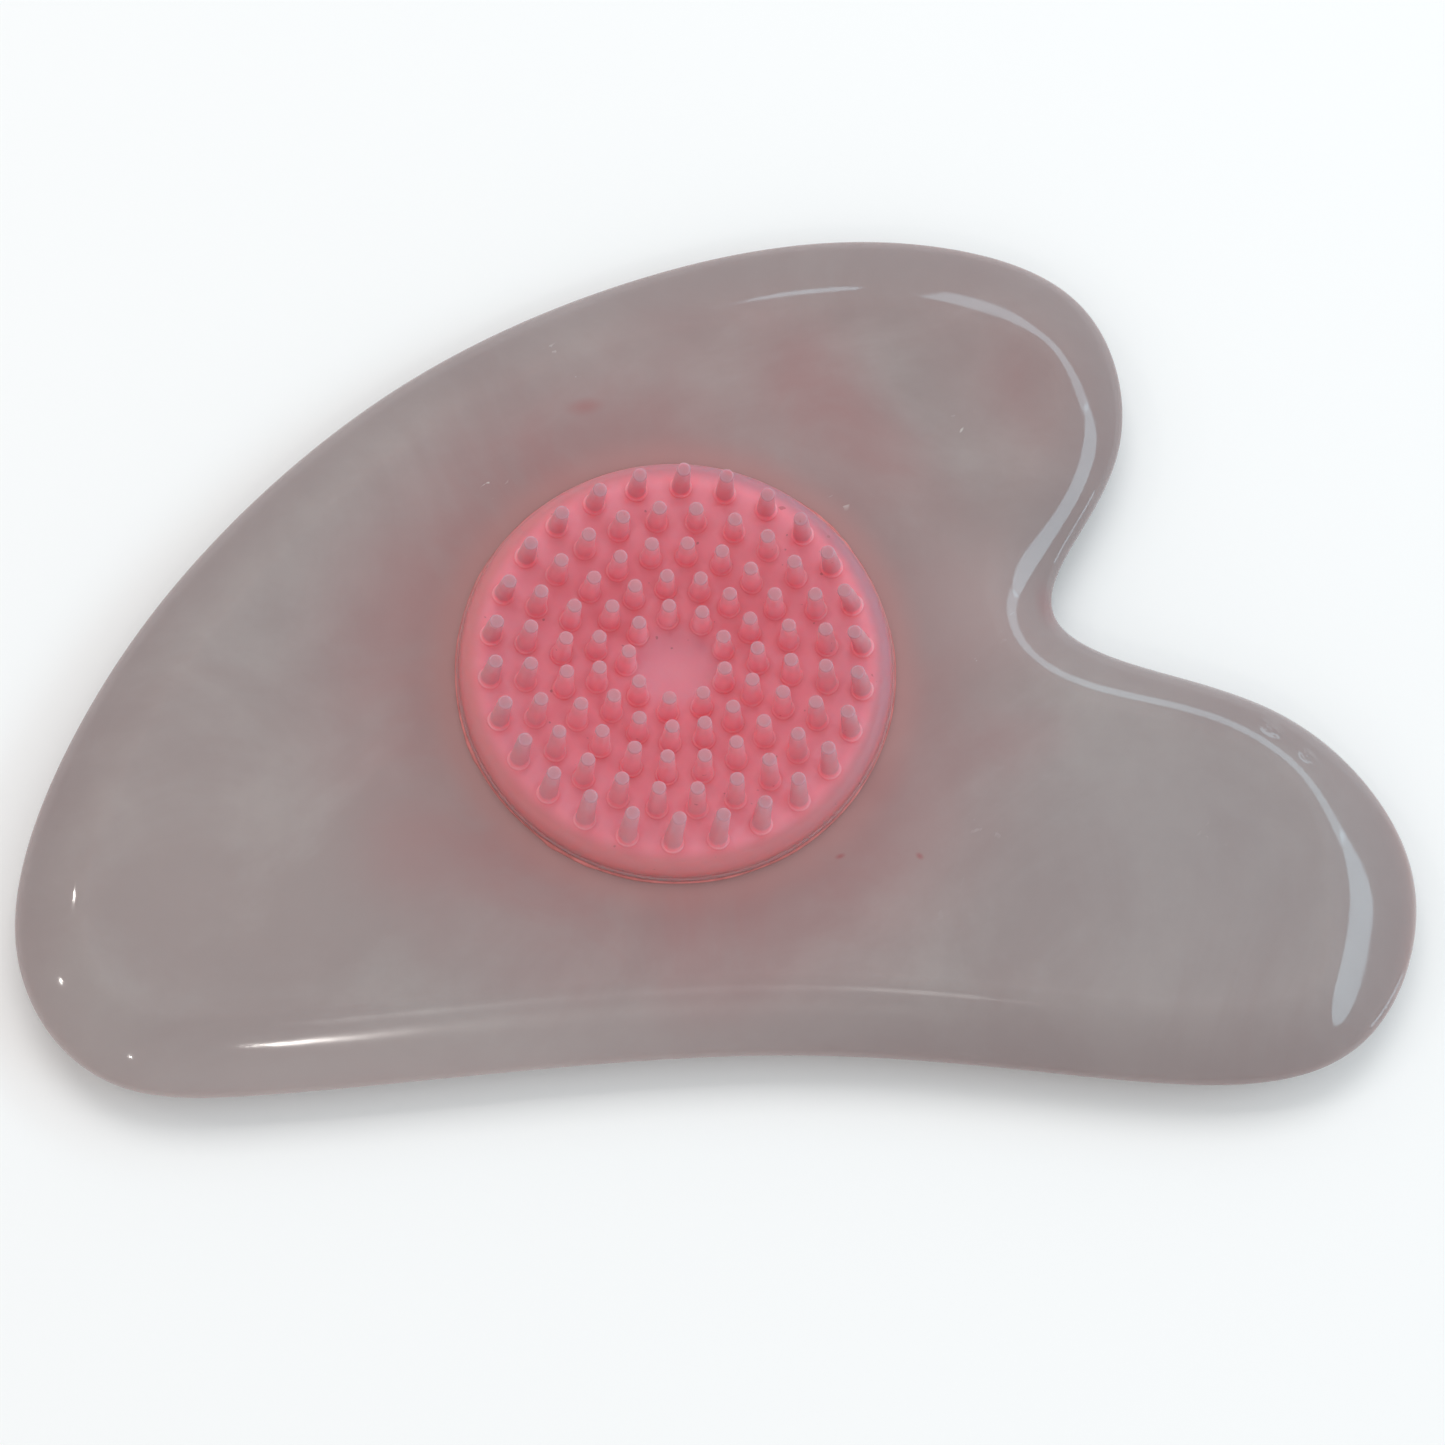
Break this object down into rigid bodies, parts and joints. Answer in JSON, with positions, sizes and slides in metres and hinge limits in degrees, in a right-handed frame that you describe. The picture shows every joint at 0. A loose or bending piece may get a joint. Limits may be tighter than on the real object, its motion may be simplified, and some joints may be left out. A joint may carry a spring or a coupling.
{
  "type": "gua sha scraper",
  "caption": "Flat stone massage board with a rounded tail, two lobes either side of a jaw notch, and a round dished silicone bristle pad set into one face.",
  "frame": {"origin": "on the brush pad's axis, at the board's flat back face", "axes": "+X along the board's length, from the tail towards the two lobes; +Y across the board, from the scraping edge towards the long rounded back; +Z out of the back face's plane through the brush pad, away from what the board lies on"},
  "size_m": [0.1113, 0.073, 0.0137],
  "materials": {
    "stone": "polished",
    "silicone": "matte",
    "glue": "gloss"
  },
  "bodies": {
    "root": {"scraper_board": "stone", "brush_pad": "silicone", "glue_layer": "glue"}
  },
  "joints": []
}
